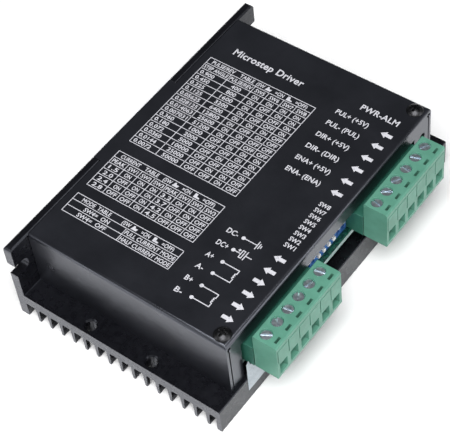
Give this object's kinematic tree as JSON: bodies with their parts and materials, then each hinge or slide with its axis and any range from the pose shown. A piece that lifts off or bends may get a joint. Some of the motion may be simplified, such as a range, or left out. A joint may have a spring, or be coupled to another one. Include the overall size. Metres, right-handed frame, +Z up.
{
  "type": "stepper motor driver module",
  "caption": "Enclosed stepper motor driver: finned heat sink base, bent sheet cover, settings switch and two pluggable screw terminal blocks.",
  "frame": {"origin": "centre of the four mounting holes, on the plane of the heat sink's fin tips", "axes": "+X towards the terminal blocks, +Y along the fins from the power terminals to the signal terminals, +Z up from the fin tips to the cover"},
  "size_m": [0.0851, 0.118, 0.0332],
  "materials": {
    "black_anodised": "black anodised extrusion, semi-gloss",
    "cover_paint": "fine-textured black paint on steel sheet",
    "black_steel": "black oxide screw",
    "zinc_steel": "zinc plated",
    "board_laminate": "green solder mask on glass laminate",
    "plated_brass": "nickel over brass, satin",
    "header_green": "moulded, slightly glossy",
    "tinned_pin": "bright tin plating",
    "switch_blue": "moulded, satin",
    "lamp_lens": "tinted clear resin",
    "label_film": "white paper-faced film",
    "chip_black": "moulded epoxy",
    "bar_aluminium": "mill finish",
    "pad_grey": "silicone-coated insulator",
    "can_sleeve": "shrink sleeve",
    "plug_green": "moulded, slightly glossy",
    "lever_white": "moulded, satin"
  },
  "bodies": {
    "base": {"heatsink": "black_anodised", "top_cover": "cover_paint", "cover_screws": "black_steel", "cover_pillars": "zinc_steel", "circuit_board": "board_laminate", "board_spacers": "plated_brass", "board_screws": "zinc_steel", "signal_header": "header_green", "power_header": "header_green", "signal_header_pins": "tinned_pin", "power_header_pins": "tinned_pin", "dip_switch_body": "switch_blue", "dip_switch_pins": "tinned_pin", "status_lamp": "lamp_lens", "seal_label": "label_film", "power_transistors": "chip_black", "transistor_clamp_bar": "bar_aluminium", "clamp_bar_screws": "zinc_steel", "thermal_pad": "pad_grey", "bulk_capacitors": "can_sleeve", "shunt_resistors": "chip_black", "controller_chip": "chip_black", "gate_drivers": "chip_black", "optocouplers": "chip_black"},
    "signal_plug": {"signal_plug": "plug_green", "signal_contacts": "plated_brass"},
    "signal_screw_1": {"signal_screw_1": "zinc_steel"},
    "signal_clamp_1": {"signal_clamp_1": "zinc_steel"},
    "signal_screw_2": {"signal_screw_2": "zinc_steel"},
    "signal_clamp_2": {"signal_clamp_2": "zinc_steel"},
    "signal_screw_3": {"signal_screw_3": "zinc_steel"},
    "signal_clamp_3": {"signal_clamp_3": "zinc_steel"},
    "signal_screw_4": {"signal_screw_4": "zinc_steel"},
    "signal_clamp_4": {"signal_clamp_4": "zinc_steel"},
    "signal_screw_5": {"signal_screw_5": "zinc_steel"},
    "signal_clamp_5": {"signal_clamp_5": "zinc_steel"},
    "signal_screw_6": {"signal_screw_6": "zinc_steel"},
    "signal_clamp_6": {"signal_clamp_6": "zinc_steel"},
    "power_plug": {"power_plug": "plug_green", "power_contacts": "plated_brass"},
    "power_screw_1": {"power_screw_1": "zinc_steel"},
    "power_clamp_1": {"power_clamp_1": "zinc_steel"},
    "power_screw_2": {"power_screw_2": "zinc_steel"},
    "power_clamp_2": {"power_clamp_2": "zinc_steel"},
    "power_screw_3": {"power_screw_3": "zinc_steel"},
    "power_clamp_3": {"power_clamp_3": "zinc_steel"},
    "power_screw_4": {"power_screw_4": "zinc_steel"},
    "power_clamp_4": {"power_clamp_4": "zinc_steel"},
    "power_screw_5": {"power_screw_5": "zinc_steel"},
    "power_clamp_5": {"power_clamp_5": "zinc_steel"},
    "power_screw_6": {"power_screw_6": "zinc_steel"},
    "power_clamp_6": {"power_clamp_6": "zinc_steel"},
    "dip_lever_1": {"dip_lever_1": "lever_white"},
    "dip_lever_2": {"dip_lever_2": "lever_white"},
    "dip_lever_3": {"dip_lever_3": "lever_white"},
    "dip_lever_4": {"dip_lever_4": "lever_white"},
    "dip_lever_5": {"dip_lever_5": "lever_white"},
    "dip_lever_6": {"dip_lever_6": "lever_white"},
    "dip_lever_7": {"dip_lever_7": "lever_white"},
    "dip_lever_8": {"dip_lever_8": "lever_white"}
  },
  "joints": [
    {"name": "signal_plug_pull", "type": "slide", "parent": "base", "child": "signal_plug", "axis": [1, 0, 0], "range_m": [0, 0.012]},
    {"name": "signal_screw_1_turn", "type": "hinge", "parent": "signal_plug", "child": "signal_screw_1", "pos_m": [0.0421, 0.0137, 0.0285], "axis": [0, 0, -1], "range_deg": [0, 1800]},
    {"name": "signal_clamp_1_lift", "type": "slide", "parent": "signal_plug", "child": "signal_clamp_1", "axis": [0, 0, 1], "range_m": [0, 0.0025]},
    {"name": "signal_screw_2_turn", "type": "hinge", "parent": "signal_plug", "child": "signal_screw_2", "pos_m": [0.0421, 0.01878, 0.0285], "axis": [0, 0, -1], "range_deg": [0, 1800]},
    {"name": "signal_clamp_2_lift", "type": "slide", "parent": "signal_plug", "child": "signal_clamp_2", "axis": [0, 0, 1], "range_m": [0, 0.0025]},
    {"name": "signal_screw_3_turn", "type": "hinge", "parent": "signal_plug", "child": "signal_screw_3", "pos_m": [0.0421, 0.02386, 0.0285], "axis": [0, 0, -1], "range_deg": [0, 1800]},
    {"name": "signal_clamp_3_lift", "type": "slide", "parent": "signal_plug", "child": "signal_clamp_3", "axis": [0, 0, 1], "range_m": [0, 0.0025]},
    {"name": "signal_screw_4_turn", "type": "hinge", "parent": "signal_plug", "child": "signal_screw_4", "pos_m": [0.0421, 0.02894, 0.0285], "axis": [0, 0, -1], "range_deg": [0, 1800]},
    {"name": "signal_clamp_4_lift", "type": "slide", "parent": "signal_plug", "child": "signal_clamp_4", "axis": [0, 0, 1], "range_m": [0, 0.0025]},
    {"name": "signal_screw_5_turn", "type": "hinge", "parent": "signal_plug", "child": "signal_screw_5", "pos_m": [0.0421, 0.03402, 0.0285], "axis": [0, 0, -1], "range_deg": [0, 1800]},
    {"name": "signal_clamp_5_lift", "type": "slide", "parent": "signal_plug", "child": "signal_clamp_5", "axis": [0, 0, 1], "range_m": [0, 0.0025]},
    {"name": "signal_screw_6_turn", "type": "hinge", "parent": "signal_plug", "child": "signal_screw_6", "pos_m": [0.0421, 0.0391, 0.0285], "axis": [0, 0, -1], "range_deg": [0, 1800]},
    {"name": "signal_clamp_6_lift", "type": "slide", "parent": "signal_plug", "child": "signal_clamp_6", "axis": [0, 0, 1], "range_m": [0, 0.0025]},
    {"name": "power_plug_pull", "type": "slide", "parent": "base", "child": "power_plug", "axis": [1, 0, 0], "range_m": [0, 0.012]},
    {"name": "power_screw_1_turn", "type": "hinge", "parent": "power_plug", "child": "power_screw_1", "pos_m": [0.0421, -0.04075, 0.0285], "axis": [0, 0, -1], "range_deg": [0, 1800]},
    {"name": "power_clamp_1_lift", "type": "slide", "parent": "power_plug", "child": "power_clamp_1", "axis": [0, 0, 1], "range_m": [0, 0.0025]},
    {"name": "power_screw_2_turn", "type": "hinge", "parent": "power_plug", "child": "power_screw_2", "pos_m": [0.0421, -0.03567, 0.0285], "axis": [0, 0, -1], "range_deg": [0, 1800]},
    {"name": "power_clamp_2_lift", "type": "slide", "parent": "power_plug", "child": "power_clamp_2", "axis": [0, 0, 1], "range_m": [0, 0.0025]},
    {"name": "power_screw_3_turn", "type": "hinge", "parent": "power_plug", "child": "power_screw_3", "pos_m": [0.0421, -0.03059, 0.0285], "axis": [0, 0, -1], "range_deg": [0, 1800]},
    {"name": "power_clamp_3_lift", "type": "slide", "parent": "power_plug", "child": "power_clamp_3", "axis": [0, 0, 1], "range_m": [0, 0.0025]},
    {"name": "power_screw_4_turn", "type": "hinge", "parent": "power_plug", "child": "power_screw_4", "pos_m": [0.0421, -0.02551, 0.0285], "axis": [0, 0, -1], "range_deg": [0, 1800]},
    {"name": "power_clamp_4_lift", "type": "slide", "parent": "power_plug", "child": "power_clamp_4", "axis": [0, 0, 1], "range_m": [0, 0.0025]},
    {"name": "power_screw_5_turn", "type": "hinge", "parent": "power_plug", "child": "power_screw_5", "pos_m": [0.0421, -0.02043, 0.0285], "axis": [0, 0, -1], "range_deg": [0, 1800]},
    {"name": "power_clamp_5_lift", "type": "slide", "parent": "power_plug", "child": "power_clamp_5", "axis": [0, 0, 1], "range_m": [0, 0.0025]},
    {"name": "power_screw_6_turn", "type": "hinge", "parent": "power_plug", "child": "power_screw_6", "pos_m": [0.0421, -0.01535, 0.0285], "axis": [0, 0, -1], "range_deg": [0, 1800]},
    {"name": "power_clamp_6_lift", "type": "slide", "parent": "power_plug", "child": "power_clamp_6", "axis": [0, 0, 1], "range_m": [0, 0.0025]},
    {"name": "dip_lever_1_slide", "type": "slide", "parent": "base", "child": "dip_lever_1", "axis": [0, 0, 1], "range_m": [-0.0026, 0]},
    {"name": "dip_lever_2_slide", "type": "slide", "parent": "base", "child": "dip_lever_2", "axis": [0, 0, 1], "range_m": [-0.0026, 0]},
    {"name": "dip_lever_3_slide", "type": "slide", "parent": "base", "child": "dip_lever_3", "axis": [0, 0, 1], "range_m": [0, 0.0026]},
    {"name": "dip_lever_4_slide", "type": "slide", "parent": "base", "child": "dip_lever_4", "axis": [0, 0, 1], "range_m": [0, 0.0026]},
    {"name": "dip_lever_5_slide", "type": "slide", "parent": "base", "child": "dip_lever_5", "axis": [0, 0, 1], "range_m": [0, 0.0026]},
    {"name": "dip_lever_6_slide", "type": "slide", "parent": "base", "child": "dip_lever_6", "axis": [0, 0, 1], "range_m": [0, 0.0026]},
    {"name": "dip_lever_7_slide", "type": "slide", "parent": "base", "child": "dip_lever_7", "axis": [0, 0, 1], "range_m": [-0.0026, 0]},
    {"name": "dip_lever_8_slide", "type": "slide", "parent": "base", "child": "dip_lever_8", "axis": [0, 0, 1], "range_m": [-0.0026, 0]}
  ]
}
